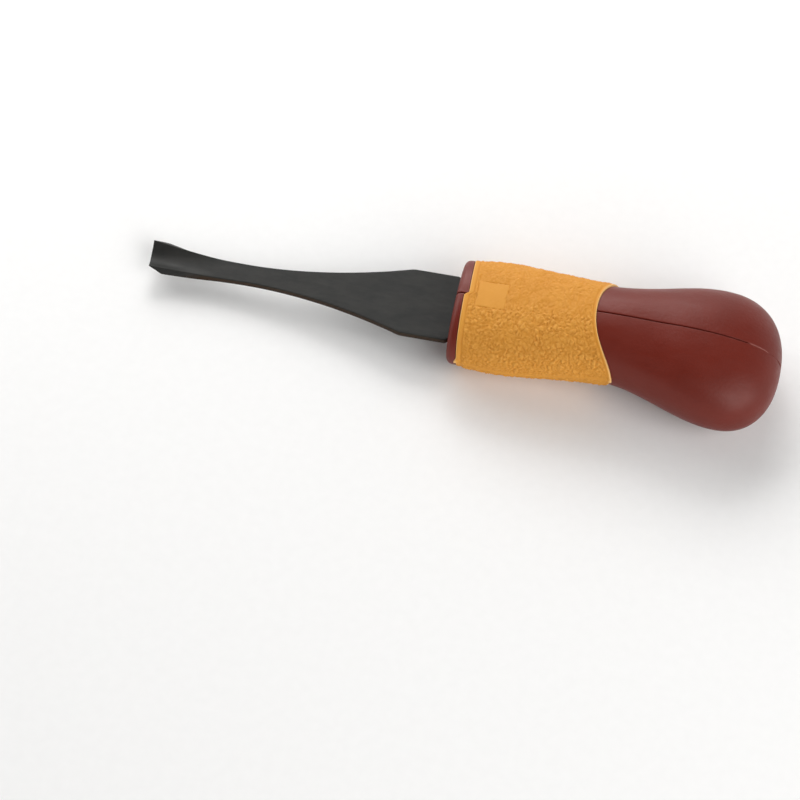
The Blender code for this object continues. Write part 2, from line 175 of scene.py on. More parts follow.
PANEL_GROOVE = 0.22 * MM
PANEL_SMOOTH = 0.85  # share of the grain that the panel wipes out

# Leather grain: sizes are shares of GRAIN_SIZE
GRAIN_WARP_SIZE = 1.6
GRAIN_WARP = 0.5
PEBBLE_SLOPE = 0.45
WRINKLE_SIZE = 0.62
WRINKLE_SLOPE = 3.2
LIFT_SIZE = 2.3
LIFT_MIDDLE = 0.85
LIFT_RANGE = 0.35
LIFT_LEAST = 0.5

# Socket, spring detent and screws
SOCKET_HALF_WIDTH = 7.5 * MM
SOCKET_WALL = 1.2 * MM
SOCKET_FRONT = -1.0 * MM
SOCKET_REAR = -36 * MM
SOCKET_TOP = THICKNESS / 2 + GAP + SOCKET_WALL
SOCKET_EDGE = 0.25 * MM
SOCKET_CORNER = 1.4 * MM
BORE_CORNER = 0.4 * MM
BORE_FLARE = 0.5 * MM
BORE_FLARE_LENGTH = 1.2 * MM
JOINT_HALF = 0.1 * MM  # half the width of the joint along the socket's underside
JOINT_DEPTH = 0.35 * MM
SMALL_CHAMFER = 0.12 * MM
SPRING_THICKNESS = 0.6 * MM
SPRING_HALF_WIDTH = 3.0 * MM
SPRING_FRONT = -17.5 * MM
SPRING_REAR = -35.5 * MM
BOSS_RADIUS = 1.7 * MM
BOSS_DEPTH = 2.9 * MM
BOSS_STEPS = 14
SPRING_EDGE = 0.15 * MM
SPRING_CORNER = 1.5 * MM
DISH_WALL = 0.3 * MM
DISH_DEPTH = 1.1 * MM
RIVET_X = -32.5 * MM
RIVET_RADIUS = 0.9 * MM
RIVET_HEAD_RADIUS = 1.8 * MM
RIVET_HEAD_HEIGHT = 0.8 * MM
RIVET_TURNS = (76, 0, 12)  # degrees, from the edge of its flat top down, and steps
RIVET_RIM = 0.12  # height of the head's upright rim, as a share of the head's
RIVET_BREAK = 0.08 * MM
RIVET_PLAY = 0.1 * MM
RIVET_CHAMFER = 0.15 * MM
RIVET_HOLE_TOP = 9 * MM  # of the cutter, well above the leaf
DETENT_LIFT = 2.6 * MM
SCREWS = {
    "handle_screw_front": (-12 * MM, -5.1 * MM),
    "handle_screw_middle": (-41 * MM, 0.5 * MM),
    "handle_screw_rear": (-68 * MM, -2.0 * MM),
}
SCREW_RADIUS = 1.25 * MM
SCREW_HEAD_RADIUS = 2.4 * MM
SCREW_HEAD_DEPTH = 2.0 * MM
SCREW_HEAD_INSET = 7.6 * MM
SCREW_END_INSET = 5.0 * MM
SCREW_BOSS_RADIUS = 3.9 * MM
SCREW_HEAD_ROUND = 0.7 * MM
SCREW_HEAD_CHAMFER = 0.15 * MM
POST_REACH = 40 * MM  # of the rear screw's boss, past both walls of the bulb
WELL_ROUND = 0.7 * MM
WELL_DROP = 0.6 * MM  # how far in the well's rounded mouth ends
WELL_START = 0.1 * MM
WELL_TURNS = (20, 90, 6)  # degrees from and to, and steps, round its mouth
SCREW_HEAD_TURNS = (15, 90, 7)
HOLE_TURN = 0.03  # radians, which keeps the facets of the screw holes off the rings of the halves
THREAD_PITCH = 1.1 * MM
THREAD_DEPTH = 0.34 * MM
THREAD_POINT = 2.4 * MM
THREAD_AROUND = 36
THREAD_STEPS = 12  # rings in one pitch
THREAD_SHARE = 0.24  # half the thread's width, as a share of the pitch
THREAD_TAPER = 0.7
THREAD_TIP = 0.02 * MM
THREAD_OVERLAP = 0.5 * MM
RECESS_LENGTH = 3.0 * MM
RECESS_WIDTH = 0.62 * MM
RECESS_DEPTH = 1.15 * MM
RECESS_CORNER = 0.12 * MM
RECESS_SHARES = ((-MM, 1.25), (RECESS_DEPTH, 0.55))  # depth, and the size there
RECESS_TURNS = (45, 135)

# The view: where the camera looks, from how far, and its turn about its own axis
AIM = Vector((11.11 * MM, 34.1 * MM, 12 * MM))
AIM_DISTANCE = 659 * MM
CAMERA_BEARING = math.radians(96.183)  # from +X, anticlockwise seen from above
CAMERA_ELEVATION = math.radians(59.062)
CAMERA_ROLL = math.radians(6.56)
LENS = 107.9
CLIP_END = 10

# The stage: each softbox is (name, bearing, elevation, distance, size, power)
SOFTBOXES = (
    ("key", -46, 34, 0.9, (1.0, 0.6), 6.0),
    ("back", -80, 35, 0.9, (0.55, 0.36), 2.9),
    ("fill", 148, 36, 0.9, (0.8, 0.6), 5.4),
)
SKY_STRENGTH = 0.95
SKY_ZENITH = 0.1
SKY_DIMS = (0.3, 0.5)  # heights, as Z of the direction, between which the sky dims
FLOOR_HALF = 750 * MM
FLOOR_FADE = 300 * MM  # from here the floor fades into the white surroundings
FLOOR_DROP = 0.05 * MM
FLOOR_PARTS = 8

# Colours, as the darkest and the lightest of each material
BURGUNDY = (0.127, 0.0122, 0.0056), (0.145, 0.0152, 0.0076)
# painted highlight: the paler red of the seam ridge on the bulb's top
RIDGE_HIGHLIGHT_RED = (0.30, 0.100, 0.078)
# painted shade: the darker ochre goes into the creases and grooves of the grain, OCHRE_TOPS on the pebble
# tops
OCHRE_SHADED_CREASES = (0.575, 0.229, 0.024), (0.620, 0.263, 0.033)
OCHRE_TOPS = (0.72, 0.332, 0.054)
# painted highlight on the sleeve's rounded ends and little corners
OCHRE_EDGE_HIGHLIGHT = (0.86, 0.51, 0.19)
BLACK_OXIDE = (0.0165, 0.0167, 0.0157), (0.0305, 0.0297, 0.0268)
SHEARED_BROWN = (0.030, 0.016, 0.007)
HONED_STEEL = (0.30, 0.30, 0.29)
ZINC = (0.46, 0.47, 0.50), (0.62, 0.63, 0.65)
SPRING_STRIP = (0.26, 0.27, 0.31), (0.38, 0.39, 0.42)
BRASS = (0.48, 0.32, 0.11), (0.66, 0.47, 0.18)
SCREW_ZINC = (0.38, 0.38, 0.40), (0.52, 0.52, 0.53)
PAPER = (0.895, 0.89, 0.88), (0.91, 0.905, 0.895)
BURGUNDY_SHEEN = (1.0, 0.80, 0.77, 1.0)

# Finishes: roughness between two values, and bumps as (size, detail, height)
BURGUNDY_ROUGH = (0.37, 0.51)
OCHRE_ROUGH = (0.72, 0.56)
OXIDE_ROUGH = (0.5, 0.62)
BURGUNDY_BUMPS = ((0.25 * MM, 2, 0.012 * MM), (0.9 * MM, 3, 0.05 * MM), (5 * MM, 2, 0.05 * MM))
OCHRE_BUMPS = ((0.35 * MM, 4, 0.02 * MM), (0.12 * MM, 2, 0.006 * MM))
OXIDE_BUMPS = ((4 * MM, 2, 0.03 * MM),)
BRUSHING = 0.006 * MM
DRAWING = 0.008 * MM
FACE_FROM = (0.2, 0.5)  # Z of the normal, from the blade's sides to its faces
HONED_FROM = (0.7, 0.85)  # X of the normal, where the cutting edge turns bright


def tool_frame():
    """From the tool's own frame to the CAD's."""
    forward = Vector(frame["joints"][0]["axis"]).normalized()
    left = Vector((0, 1, 0))
    low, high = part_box("tang_socket")
    origin = (low + high) / 2 - forward * (SOCKET_FRONT + SOCKET_REAR) / 2
    turn = Matrix((forward, left, forward.cross(left))).transposed().to_4x4()
    return Matrix.Translation(origin) @ turn


# Form of the handle, for arrays of stations and angles


def ease(t):
    t = np.clip(t, 0, 1)
    return t * t * (3 - 2 * t)


def through(turns, x):
    """A smooth profile that is level at each of its turns."""
    value = np.full_like(x, turns[0][1])
    for (x0, v0), (x1, v1) in zip(turns, turns[1:]):
        value = np.where(x <= x0, v0 + (v1 - v0) * ease((x0 - x) / (x0 - x1)), value)
    return value


def rounding(turns, x):
    """1 ahead of the last turn, falling to 0 at the rear pole as a superellipse does."""
    start = turns[-1][0]
    t = np.clip((start - x) / (start - REAR_X), 0, 1)
    return (1 - t**END_POWER) ** (1 / END_POWER)


def section(x, outward=0.0):
    """Half-width, middle height and half-height of the handle's section."""
    x = np.asarray(x, float)
    half = through(HALF_WIDTH, x) * rounding(HALF_WIDTH, x) + outward
    top = POLE_Z + (through(TOP, x) - POLE_Z) * rounding(TOP, x) + outward
    bottom = POLE_Z + (through(BOTTOM, x) - POLE_Z) * rounding(BOTTOM, x) - outward
    return half, (top + bottom) / 2, (top - bottom) / 2


def squared(value):
    return np.sign(value) * np.abs(value) ** (2 / SECTION_POWER)


def handle_points(x, angle, outward=0.0):
    """The handle's surface at stations and angles from the left side, moved outward."""
    x, angle = np.broadcast_arrays(np.asarray(x, float), angle)
    half, middle, rise = section(x, outward)
    return np.stack([x, half * squared(np.cos(angle)), middle + rise * squared(np.sin(angle))], -1)


def sleeve_front(angle):
    turns, places = zip(*SLEEVE_FRONT_EDGE)
    return np.interp(np.degrees(angle) % 360, turns, np.array(places) * MM)


def sleeve_rear(angle):
    skew = SLEEVE_REAR_SKEW * (1 - np.cos(angle)) / 2
    return SLEEVE_REAR + skew + SCOOP * np.abs(np.sin(angle)) ** SCOOP_POWER


def surface_normals(points, outward_from):
    """Unit normals of a grid of points, pointing away from the line of points outward_from."""
    along = np.gradient(points, axis=0)
    around = np.gradient(points, axis=1)
    normal = np.cross(along, around)
    normal /= np.maximum(np.linalg.norm(normal, axis=-1, keepdims=True), TINY)
    facing = np.sum(normal * (points - outward_from), axis=-1, keepdims=True)
    return normal * np.where(facing < 0, -1, 1)


# Meshes


def mesh_of(name, points, faces):
    mesh = bpy.data.meshes.new(name)
    mesh.from_pydata(np.reshape(points, (-1, 3)).tolist(), [], faces)
    work = bmesh.new()
    work.from_mesh(mesh)
    bmesh.ops.recalc_face_normals(work, faces=work.faces)
    work.to_mesh(mesh)
    work.free()
    return mesh


def ring_faces(rings, around, closed=False):
    """Quads between rings of equal length, and back to the first ring when closed."""
    ring = np.arange(rings if closed else rings - 1)[:, None]
    after = (ring + 1) % rings
    i = np.arange(around)[None, :]
    j = (i + 1) % around
    quads = np.stack([ring * around + i, ring * around + j, after * around + j, after * around + i], -1)
    return quads.reshape(-1, 4).tolist()


def tube(name, points, closed=False):
    """A body through rings of points: capped at both ends, or closed back on itself."""
    rings, around = points.shape[:2]
    faces = ring_faces(rings, around, closed)
    if not closed:
        faces += [list(range(around)), list(range((rings - 1) * around, rings * around))]
    return mesh_of(name, points, faces)


def block(name, low, high):
    corners = [(x, y, z) for x in (low[0], high[0]) for y in (low[1], high[1]) for z in (low[2], high[2])]
    work = bmesh.new()
    bmesh.ops.convex_hull(work, input=[work.verts.new(corner) for corner in corners])
    mesh = bpy.data.meshes.new(name)
    work.to_mesh(mesh)
    work.free()
    return mesh


def turned(name, profile, axis="Z"):
    """A body turned about an axis from (radius, place on it) points; radius 0 at both ends."""
    angle = np.linspace(0, 2 * math.pi, AROUND, endpoint=False)
    rings = []
    for radius, place in profile:
        radius = max(radius, POLE_RADIUS)
        ring = [radius * np.cos(angle), radius * np.sin(angle), np.full(AROUND, place)]
        if axis == "Y":
            ring = [ring[0], ring[2], -ring[1]]
        rings.append(np.stack(ring, -1))
    return tube(name, np.array(rings))


def thing(name, mesh, matrix=None):
    made = bpy.data.objects.new(name, mesh)
    bpy.context.scene.collection.objects.link(made)
    made.matrix_world = matrix or Matrix.Identity(4)
    return made


def carve(piece, steps):
    """Applies (operation, mesh, matrix) Booleans to a piece, in turn."""
    tools = []
    for operation, mesh, matrix in steps:
        tool = thing("tool", mesh, matrix)
        cut = piece.modifiers.new("cut", "BOOLEAN")
        cut.operation = operation
        cut.solver = "MANIFOLD"
        cut.object = tool
        tools.append(tool)
    bpy.context.view_layer.update()
    shown = piece.evaluated_get(bpy.context.evaluated_depsgraph_get())
    mesh = bpy.data.meshes.new_from_object(shown)
    piece.modifiers.clear()
    piece.data = mesh
    for tool in tools:
        bpy.data.objects.remove(tool)


def finished(piece, look, body, node, sharp=35):
    """Gives a piece its look and its place in the object, flat where it would reach below the table."""
    mesh = piece.data
    mesh.transform(TOOL @ piece.matrix_world)
    piece.matrix_world = Matrix.Identity(4)
    for point in mesh.vertices:
        point.co.z = max(point.co.z, 0)
    mesh.materials.clear()
    mesh.materials.append(look)
    mesh.shade_smooth()
    mesh.set_sharp_from_angle(angle=math.radians(sharp))
    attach(piece, body)
    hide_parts(node)
    return piece


# Handle halves


def flat(x):
    return lambda angle: np.full_like(angle, x)


def between_edges(share):
    return lambda angle: sleeve_front(angle) + (sleeve_rear(angle) - sleeve_front(angle)) * share


def behind_sleeve(share, finish):
    return lambda angle: sleeve_rear(angle) + (finish - sleeve_rear(angle)) * share


def handle_stations():
    """(station, outward) of each ring of a half, from the front face to the rear pole."""
    stations = []
    for turn in np.linspace(0, math.pi / 2, LIP_RINGS):
        x = FRONT_X - FRONT_ROUND * (1 - math.cos(turn))
        stations.append((flat(x), FRONT_ROUND * (math.sin(turn) - 1) + LIP_PROUD))
    stations.append((sleeve_front, LIP_PROUD))
    stations += [(between_edges(share), -SLEEVE_SEAT) for share in np.linspace(0, 1, SEAT_RINGS)]
    bulb = HALF_WIDTH[-1][0]
    stations += [(behind_sleeve(share, bulb), 0) for share in np.linspace(0, 1, BACK_RINGS)]
    for turn in np.radians(np.linspace(0, END_TURN, END_RINGS)[1:]):
        stations.append((flat(bulb + (REAR_X - bulb) * math.sin(turn)), 0))
    return stations


def step_down(x, span):
    """0 ahead of a span of stations, 1 behind it."""
    return float(ease((span[0] - x) / (span[0] - span[1])))


def seam_jag(x, side):
    """Unevenness of a half's edge: nicks, with finer ones of half their height between them."""
    broad = noise.noise(Vector((x / JAG_LENGTH, JAG_ROWS[0] * side, 0)))
    fine = noise.noise(Vector((x / FINE_JAG_LENGTH, JAG_ROWS[1], side)))
    return broad + 0.5 * fine


def seam_state(x, side):
    """Half the gap at the seam, the rounding of the half's edge, and the ridge on it."""
    closed = step_down(x, SEAM_CLOSES) * (1 - step_down(x, SEAM_OPENS))
    ridge = SEAM_RIDGE * closed * (1 - step_down(x, (SEAM_RIDGE_END + MM, SEAM_RIDGE_END)))
    gap = SEAM_HALF_GAP * (1 - SEAM_CLOSING * closed)
    corner = (SEAM_ROUND + SEAM_JAG * seam_jag(x, side)) * (1 - closed)
    return gap, max(corner, LEAST_ROUND), ridge


def half_ring(station, outward, side):
    """One D-shaped ring of a half, its straight side on the seam, its two corners rounded."""
    x = float(station(np.array([math.pi / 2]))[0])
    gap, corner, ridge = seam_state(x, side)
    half = float(section(x, outward)[0])
    reach = min(BAND, half / 2)
    steps = gap + reach * np.linspace(0, 1, BAND_STEPS) ** 2
    ends = np.arccos(np.clip(steps / half, 0, 1) ** (SECTION_POWER / 2))
    middle = np.linspace(-ends[-1], ends[-1], HALF_STEPS)
    angle = np.concatenate([-ends[:-1], middle, ends[:-1][::-1]])
    if side < 0:
        angle = math.pi - angle
    points = handle_points(station(angle), angle, outward)
    points[0, 1] = points[-1, 1] = side * gap
    from_seam = np.abs(points[:, 1]) - gap
    away = np.clip(1 - from_seam / corner, 0, 1)
    raised = ridge * np.exp(-((from_seam / SEAM_RIDGE_WIDTH) ** 2))
    return points, corner * (1 - np.sqrt(1 - away**2)) - raised


def half_form(name, side):
    """A solid half of the handle, with its edges along the seam rounded off."""
    rings, drops = zip(*[half_ring(station, outward, side) for station, outward in handle_stations()])
    points, drops = np.array(rings), np.array(drops)
    along, across = points[..., 0], points[..., 1]
    core = np.stack([along + CORE_LEAD, across * CORE_SHARE, np.full(along.shape, POLE_Z)], -1)
    core[along > CORE_TURNS, 0] -= 2 * CORE_LEAD
    points -= surface_normals(points, core) * drops[..., None]
    return thing(name, tube(name, points))


def chamber_form():
    """The hollow in the bulb: the outer form drawn in by the wall."""
    rear = REAR_X + 2 * WALL
    angle = np.linspace(0, 2 * math.pi, CHAMBER_AROUND, endpoint=False) + CHAMBER_TURN
    turns = np.radians(np.linspace(0, 90, CHAMBER_RINGS))
    places = CHAMBER_FRONT + (rear - CHAMBER_FRONT) * np.sin(turns)
    return tube("chamber", np.array([handle_points(x, angle, -WALL) for x in places]))


def slot_mouth():
    """The blade's slot through the front face, with its rim chamfered."""
    rings = []
    inner, outer = FRONT_X - MOUTH_CHAMFER, FRONT_X + MOUTH_CHAMFER
    for x, wider in ((SOCKET_FRONT - GAP, 0), (inner, 0), (outer, 2 * MOUTH_CHAMFER)):
        half, rise = TANG_HALF + GAP + wider, THICKNESS / 2 + GAP + wider
        rings.append([(x, -half, -rise), (x, half, -rise), (x, half, rise), (x, -half, rise)])
    return tube("mouth", np.array(rings))


def side_of(x, z):
    """The handle's half-width at a station and height."""
    half, middle, rise = section(x)
    return float(half * (1 - (abs(z - middle) / rise) ** SECTION_POWER) ** (1 / SECTION_POWER))


def screw_span(x, z):
    """Where a screw's head starts and its tip ends, along Y."""
    side = side_of(x, z)
    return -side + SCREW_HEAD_INSET, side - SCREW_END_INSET


def screw_holes():
    """A well with a rounded mouth and a pilot hole for each screw."""
    holes = []
    well, pilot = SCREW_HEAD_RADIUS + GAP, SCREW_RADIUS + GAP
    rim = well + WELL_ROUND
    for x, z in SCREWS.values():
        head, tip = screw_span(x, z)
        mouth = head - SCREW_HEAD_INSET
        profile = [(0, mouth - OVERSHOOT), (rim, mouth - OVERSHOOT), (rim, mouth - WELL_START)]
        for turn in np.radians(np.linspace(*WELL_TURNS)):
            radius = well + WELL_ROUND * (1 - math.sin(turn))
            profile.append((radius, mouth + WELL_DROP - WELL_ROUND * math.cos(turn)))
        bottom = head + SCREW_HEAD_DEPTH + GAP
        profile += [(well, bottom), (pilot, bottom), (pilot, tip + GAP), (0, tip + GAP)]
        place = Matrix.Translation((x, 0, z)) @ Matrix.Rotation(HOLE_TURN, 4, "Y")
        holes.append(("DIFFERENCE", turned("hole", profile, "Y"), place))
    return holes


def hollows():
    """The pockets that both halves share."""
    half, rise = SOCKET_HALF_WIDTH + GAP, SOCKET_TOP + GAP
    pocket = block("pocket", (SOCKET_REAR - GAP, -half, -rise), (SOCKET_FRONT + GAP, half, rise))
    width = SPRING_HALF_WIDTH + GAP
    high = SOCKET_TOP + SPRING_THICKNESS + DETENT_LIFT
    detent = block("detent", (SPRING_REAR - GAP, -width, 0), (SPRING_FRONT + GAP, width, high))
    chamber = thing("chamber", chamber_form())
    x, z = SCREWS["handle_screw_rear"]
    far = POST_REACH
    post = turned("post", [(0, -far), (SCREW_BOSS_RADIUS, -far), (SCREW_BOSS_RADIUS, far), (0, far)], "Y")
    carve(chamber, [("DIFFERENCE", post, Matrix.Translation((x, 0, z)))])
    cavity = chamber.data
    bpy.data.objects.remove(chamber)
    return [("DIFFERENCE", mesh, None) for mesh in (pocket, detent, slot_mouth(), cavity)]


def handle_halves():
    cuts = hollows()
    shells = {"left_shell": ("handle_left_half", 1), "right_shell": ("handle_right_half", -1)}
    for name, (node, side) in shells.items():
        half = half_form(name, side)
        carve(half, cuts + screw_holes())
        finished(half, burgundy_plastic(name + "_burgundy"), "handle", node)


# Sleeve


def pebbles(point):
    """Leather grain in the tool's millimetres: 0 in its creases, up to 1 on its pebbles."""
    size = GRAIN_SIZE / MM
    warp = noise.noise_vector(point / (GRAIN_WARP_SIZE * size)) * (GRAIN_WARP * size)
    near, after = noise.voronoi((point + warp) / size)[0][:2]
    pebble = min((after - near) / PEBBLE_SLOPE, 1)
    wrinkle = max(1 - abs(noise.noise(point / (WRINKLE_SIZE * size))) * WRINKLE_SLOPE, 0)
    lift = LIFT_MIDDLE + LIFT_RANGE * noise.noise(point / (LIFT_SIZE * size))
    mound = pebble * pebble * (3 - 2 * pebble)
    return (mound + wrinkle) / 2 * min(max(lift, LIFT_LEAST), 1)


def inside(value, low, high):
    """1 within low..high, falling to 0 over SOFT outside them."""
    return ease((value - low) / SOFT + 1) * ease((high - value) / SOFT + 1)


def rims_of(from_front, from_rear, from_side):
    """Where the smooth rims are, and the grooves that set off the rims at both ends: 0 to 1 each."""
    rim = 1 - ease((from_side - SIDE_RIM) / SOFT)
    groove = np.zeros(rim.shape)
    for distance, width in ((from_front, FRONT_RIM), (from_rear, REAR_RIM)):
        rim = np.maximum(rim, 1 - ease((distance - width) / SOFT))
        groove = np.maximum(groove, np.exp(-(((distance - width) / RIM_GROOVE_WIDTH) ** 2)))
    return rim, groove


def sleeve_relief(points, from_front, from_rear):
    """Height of the sleeve's outer face above its base, its grain from 0 to 1, which the colour follows as
    painted shade in the creases and grooves, and the way to its sides.
    """
    middle = section(points[..., 0])[1]
    sag = PARTING_DROP * np.sin(np.pi * from_front / (from_front + from_rear))
    upright = np.abs(points[..., 2] - middle + sag)
    from_side = np.where(np.abs(points[..., 1]) > FLANK_Y, upright, upright + MM)
    rim, groove = rims_of(from_front, from_rear, from_side)
    panel = inside(points[..., 0], *PANEL_X) * inside(points[..., 1], *PANEL_Y)
    panel *= points[..., 2] > middle
    frame_line = 4 * panel * (1 - panel)
    worn_and_shaded = ease((points[..., 2] - middle) / WORN_BAND)
    worn_and_shaded *= ease((WORN_FROM - points[..., 1]) / (WORN_FROM - WORN_TO))
    smooth = np.maximum(rim, PANEL_SMOOTH * panel)
    places = [Vector(point) for point in points.reshape(-1, 3) / MM]
    grain = np.array([pebbles(place) for place in places]).reshape(middle.shape)
    # the grain value also sets the colour, so where the top is rubbed down it comes out darker: painted
    # shade for the shadows its grain no longer casts
    grain *= (1 - smooth) * (1 - TOP_WEAR * worn_and_shaded)
    swell = np.array([noise.noise(place * (MM / SWELL_SIZE)) for place in places])
    swells = SWELL_HEIGHT * swell.reshape(middle.shape) * worn_and_shaded * (1 - smooth)
    flash = FLASH_HEIGHT * np.exp(-((from_side / FLASH_WIDTH) ** 2))
    relief = RIM_HEIGHT * rim - RIM_GROOVE * groove + GRAIN_HEIGHT * grain + flash
    relief += PANEL_HEIGHT * panel - PANEL_GROOVE * frame_line + swells
    # painted shade: in the grooves at the rims the colour value drops to that of the creases
    return relief, (grain + SMOOTH_MARK * smooth) * (1 - groove), from_side


def edge_steps(length):
    """Distances along the sleeve, close together on its rounded edges."""
    corner = SLEEVE_EDGE_ROUND * (1 - np.cos(np.linspace(0, math.pi / 2, SLEEVE_EDGE_STEPS)))
    middle = np.linspace(corner[-1], length - corner[-1], SLEEVE_RINGS)
    return np.concatenate([corner[:-1], middle, length - corner[:-1][::-1]])


def sleeve_form():
    """A tube with a grained outer face, smooth rims and a sharp little corner at each end of its sides."""
    angle = (np.arange(SLEEVE_AROUND) + 0.5) * 2 * math.pi / SLEEVE_AROUND
    nominal = abs(SLEEVE_REAR)
    share = (edge_steps(nominal) / nominal)[:, None]
    front, rear = sleeve_front(angle) - SLEEVE_CLEAR, sleeve_rear(angle) + SLEEVE_CLEAR
    station = front + (rear - front) * share
    length = (front - rear)[None, :]
    outer = handle_points(station, angle[None, :], SLEEVE_PROUD)
    core = np.stack([outer[..., 0], outer[..., 1] * 0, section(outer[..., 0])[1]], -1)
    normal = surface_normals(outer, core)
    relief, grain, from_side = sleeve_relief(outer, length * share, length * (1 - share))
    from_edge = length * np.minimum(share, 1 - share)
    corner = np.clip(1 - from_edge / SLEEVE_EDGE_ROUND, 0, 1)
    relief -= SLEEVE_EDGE_ROUND * (1 - np.sqrt(1 - corner**2))
    ear = np.exp(-((from_side / EAR_SPREAD[0]) ** 2)) * np.exp(-((from_edge / EAR_SPREAD[1]) ** 2))
    outer += normal * (relief + EAR_HEIGHT * ear)[..., None]
    outer[..., 0] += EAR_LENGTH * ear * np.where(share < 0.5, 1, -1)
    inner_shares = np.linspace(1, 0, SLEEVE_INNER_RINGS)[:, None]
    inner_station = front + (rear - front) * inner_shares
    inner = handle_points(inner_station, angle[None, :], SLEEVE_PLAY - SLEEVE_SEAT)
    mesh = tube("sleeve", np.concatenate([outer, inner]), closed=True)
    shade = mesh.attributes.new("grain", "FLOAT", "POINT")
    # painted highlight: the rounded ends and the little corners are marked for a paler ochre
    edge_highlight = np.minimum(EDGE_HIGHLIGHT_GAIN * np.maximum(corner, ear), 1)
    marks = [np.maximum(grain, EDGE_MARK * edge_highlight), np.full(inner.shape[:2], INNER_MARK)]
    shade.data.foreach_set("value", np.concatenate(marks).ravel().astype(np.float32))
    return thing("rubber_sleeve", mesh)


# Blade


def blade_half_width(x):
    if x < 0:
        corner = min(max((x + TANG_LENGTH) / TANG_CORNER, 0), 1)
        return TANG_HALF - TANG_CORNER * (1 - math.sqrt(1 - (1 - corner) ** 2))
    if x < BODY_END:
        return BODY_HALF - SHOULDER_DRAW * (1 - min(x / SHOULDER_CORNER, 1)) ** 2
    draw_in = (1 - min((x - BODY_END) / (SHANK_END - BODY_END), 1)) ** SHANK_POWER
    flare = max((x - SHANK_END) / (BLADE_REACH - SHANK_END), 0) ** FLARE_POWER
    return SHANK_HALF + (BODY_HALF - SHANK_HALF) * draw_in + (EDGE_HALF - SHANK_HALF) * flare


def rounded_bar(half, thickness, corner):
    """A bar's section as (across, depth below its upper face), with rounded corners."""
    across = np.linspace(-(half - corner), half - corner, FACE_STEPS)
    turns = np.radians(np.linspace(0, 90, ROUND_STEPS))[1:-1]
    upper = [(half - corner + corner * math.sin(t), corner - corner * math.cos(t)) for t in turns]
    lower = [(s, thickness - d) for s, d in upper[::-1]]
    right = upper + [(half, corner), (half, thickness - corner)] + lower
    left = [(-s, d) for s, d in right[::-1]]
    return [(s, 0) for s in across] + right + [(s, thickness) for s in across[::-1]] + left


def blade_ring(x, shrink=0.0):
    """One ring of the blade: a bar's section, curled upwards where the gouge's channel is."""
    half = blade_half_width(x) - shrink
    to_bevel = min(max((BLADE_REACH - x) / BEVEL_LENGTH, 0), 1)
    thickness = THICKNESS * (EDGE_SHARE + (1 - EDGE_SHARE) * to_bevel)
    corner = min(EDGE_ROUND, THIN_ROUND * thickness)
    along = max((x - CHANNEL_START) / (BLADE_REACH - CHANNEL_START), 0)
    depth = CHANNEL_DEPTH * along**CHANNEL_POWER
    if depth < LEAST_CHANNEL:
        bar = rounded_bar(half, thickness, corner)
        return [(x, s, THICKNESS / 2 - d) for s, d in bar]
    radius = (half**2 + depth**2) / (2 * depth)
    bar = rounded_bar(radius * 2 * math.atan(depth / half), thickness, corner)
    bend = [(s / radius, radius + d) for s, d in bar]
    ring = []
    for turn, arm in bend:
        across = arm * math.sin(turn)
        lead = EDGE_BOW * (1 - (across / half) ** 2) - EDGE_SKEW * across / half
        ring.append((x + lead * (1 - to_bevel), across, THICKNESS / 2 + radius - arm * math.cos(turn)))
    return ring


def blade_stations():
    """Where the blade's rings stand, closer together round its corners and on its bevel."""
    tang_rounded, bevel_start = -TANG_LENGTH + TANG_CORNER, BLADE_REACH - BEVEL_LENGTH
    stations = [-TANG_LENGTH + TANG_CORNER * (1 - math.cos(turn)) for turn in np.linspace(*TANG_TURNS)]
    stations += list(np.linspace(tang_rounded, -SHOULDER_STEP, TANG_RINGS)[1:])
    stations += list(SHOULDER_CORNER * np.linspace(*SHOULDER_SHARES))
    stations += list(np.linspace(SHOULDER_CORNER, bevel_start, BODY_RINGS)[1:])
    return stations + list(np.linspace(bevel_start, BLADE_REACH, BEVEL_RINGS)[1:])


def blade_form():
    rings = [blade_ring(-TANG_LENGTH, EDGE_ROUND)] + [blade_ring(x) for x in blade_stations()]
    blade = thing("gouge", tube("gouge", np.array(rings)))
    face, rim = THICKNESS / 2, HOLE_RADIUS + HOLE_CHAMFER
    profile = [(0, -OVERSHOOT), (rim, -OVERSHOOT), (rim, -face)]
    profile += [(HOLE_RADIUS, HOLE_CHAMFER - face), (HOLE_RADIUS, face - HOLE_CHAMFER)]
    profile += [(rim, face), (rim, OVERSHOOT), (0, OVERSHOOT)]
    carve(blade, [("DIFFERENCE", turned("hole", profile), Matrix.Translation((HOLE_X, 0, 0)))])
    return blade


# Socket, spring detent and screws


def rounded_outline(half_x, half_y, corner, steps=6):
    """Points round a rectangle with rounded corners, anticlockwise."""
    points = []
    for quarter, (side_x, side_y) in enumerate(((1, 1), (-1, 1), (-1, -1), (1, -1))):
        for turn in quarter * math.pi / 2 + np.linspace(0, math.pi / 2, steps):
            x = side_x * (half_x - corner) + corner * math.cos(turn)
            y = side_y * (half_y - corner) + corner * math.sin(turn)
            points.append((x, y))
    return points


def drilled(radius, top, chamfer):
    """A cutter for a hole whose upper rim, at a height, is chamfered."""
    profile = [(0, 0), (radius, 0), (radius, top - chamfer)]
    profile += [(radius + 2 * chamfer, top + chamfer), (0, top + chamfer)]
    return turned("drilled", profile)


def bar_of(name, rings):
    """A body along X from (x, half-width, half-height, corner) of its rings."""
    points = [[(x, y, z) for y, z in rounded_outline(half, rise, corner)] for x, half, rise, corner in rings]
    return tube(name, np.array(points))


